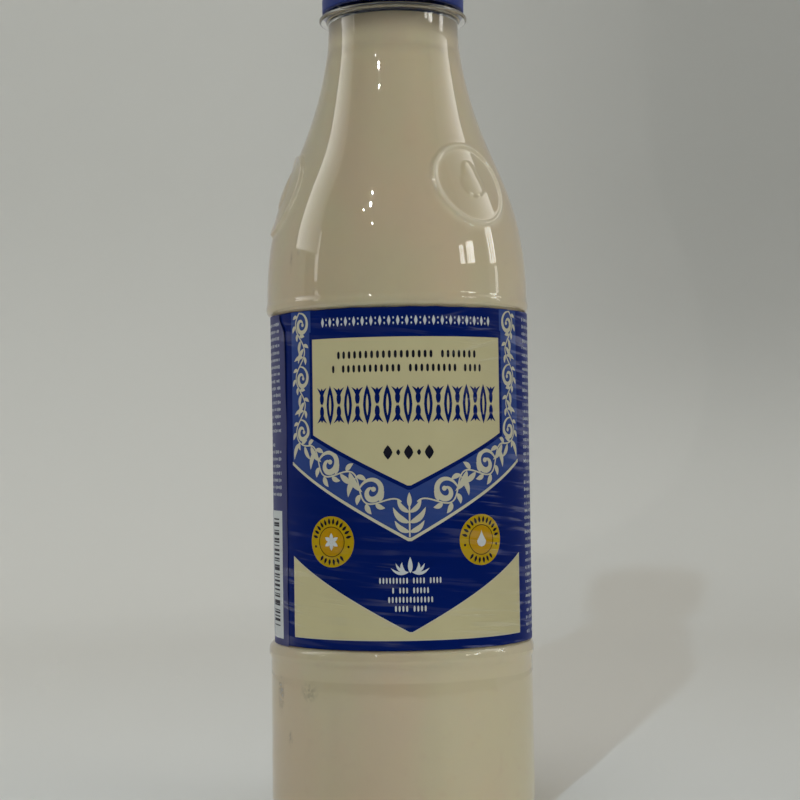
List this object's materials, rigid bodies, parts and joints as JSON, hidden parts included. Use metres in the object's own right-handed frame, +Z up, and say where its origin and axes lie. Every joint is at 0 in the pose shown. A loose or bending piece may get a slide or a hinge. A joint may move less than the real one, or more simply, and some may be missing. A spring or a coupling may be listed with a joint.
{
  "type": "condensed milk bottle",
  "caption": "Clear waisted plastic bottle full of cream-coloured condensed milk, with a flat blue screw cap and a blue and cream wrap-round label.",
  "frame": {"origin": "middle of the foot ring, on the surface that the bottle stands on", "axes": "+Z up along the bottle's axis to the cap; -Y out of the middle of the label's front panel; +X to the right of someone who faces that panel"},
  "size_m": [0.0762, 0.0762, 0.2497],
  "materials": {
    "clear_plastic": "clear glossy PET",
    "condensed_milk": "opaque cream-coloured liquid",
    "label_film": "printed plastic film, blue with cream",
    "cap_plastic": "satin blue moulded plastic"
  },
  "bodies": {
    "root": {"bottle": "clear_plastic", "milk": "condensed_milk", "label": "label_film", "screw_cap": "cap_plastic"}
  },
  "joints": []
}
